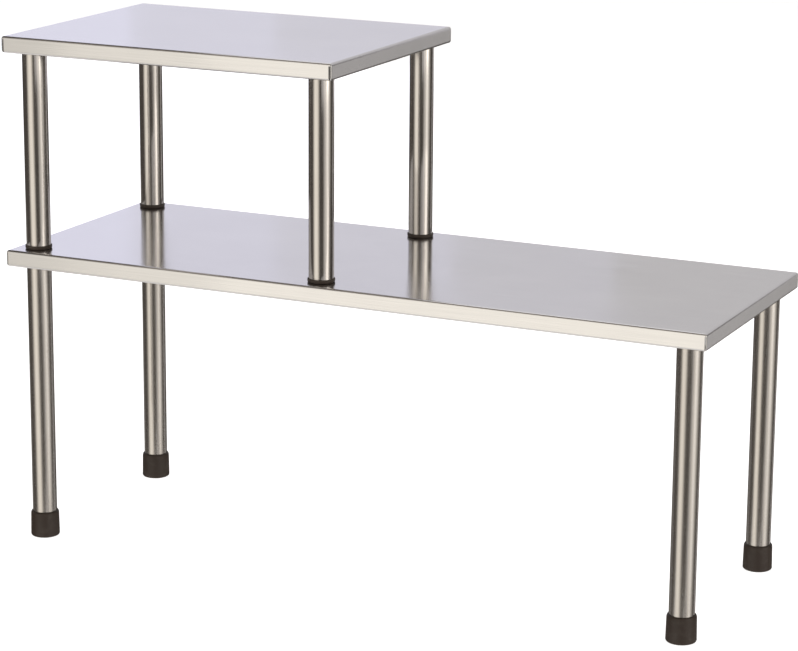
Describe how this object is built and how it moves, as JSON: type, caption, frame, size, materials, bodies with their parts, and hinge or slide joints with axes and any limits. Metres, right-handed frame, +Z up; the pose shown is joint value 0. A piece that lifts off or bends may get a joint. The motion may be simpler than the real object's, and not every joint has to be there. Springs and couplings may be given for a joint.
{
  "type": "tiered shelf riser",
  "caption": "Free-standing kitchen stand with a long lower shelf on tube legs and a half-length upper shelf on tube posts at one end, in satin stainless steel with black feet.",
  "frame": {"origin": "on the floor, under the middle of the lower shelf", "axes": "+X to the right along the shelves, away from the tall end; +Y to the back; +Z up"},
  "size_m": [0.6, 0.22, 0.42],
  "materials": {
    "satin_sheet": "satin stainless sheet, fine lengthwise grain",
    "satin_tube": "satin stainless tube, bright vertical reflections",
    "black_rubber": "matt brown-black moulded rubber",
    "black_plastic": "matt black moulded plastic",
    "plated_steel": "zinc-plated steel"
  },
  "bodies": {
    "root": {"cross_channel": "plated_steel", "foot_cap_back_left": "black_rubber", "foot_cap_back_right": "black_rubber", "foot_cap_front_left": "black_rubber", "foot_cap_front_right": "black_rubber", "leg_back_left": "satin_tube", "leg_back_right": "satin_tube", "leg_front_left": "satin_tube", "leg_front_right": "satin_tube", "leg_nuts": "plated_steel", "leg_plug_back_left": "black_plastic", "leg_plug_back_right": "black_plastic", "leg_plug_front_left": "black_plastic", "leg_plug_front_right": "black_plastic", "lower_corner_plate_back_left": "plated_steel", "lower_corner_plate_back_right": "plated_steel", "lower_corner_plate_front_left": "plated_steel", "lower_corner_plate_front_right": "plated_steel", "lower_shelf_panel": "satin_sheet", "post_back_left": "satin_tube", "post_back_right": "satin_tube", "post_bottom_nuts": "plated_steel", "post_bottom_plug_back_left": "black_plastic", "post_bottom_plug_back_right": "black_plastic", "post_bottom_plug_front_left": "black_plastic", "post_bottom_plug_front_right": "black_plastic", "post_front_left": "satin_tube", "post_front_right": "satin_tube", "post_ring_back_left": "black_rubber", "post_ring_back_right": "black_rubber", "post_ring_front_left": "black_rubber", "post_ring_front_right": "black_rubber", "post_screw_washers": "plated_steel", "post_screws": "plated_steel", "post_top_nuts": "plated_steel", "post_top_plug_back_left": "black_plastic", "post_top_plug_back_right": "black_plastic", "post_top_plug_front_left": "black_plastic", "post_top_plug_front_right": "black_plastic", "right_leg_studs": "plated_steel", "through_studs": "plated_steel", "upper_corner_plate_back_left": "plated_steel", "upper_corner_plate_back_right": "plated_steel", "upper_corner_plate_front_left": "plated_steel", "upper_corner_plate_front_right": "plated_steel", "upper_shelf_panel": "satin_sheet", "upper_shelf_studs": "plated_steel"}
  },
  "joints": []
}
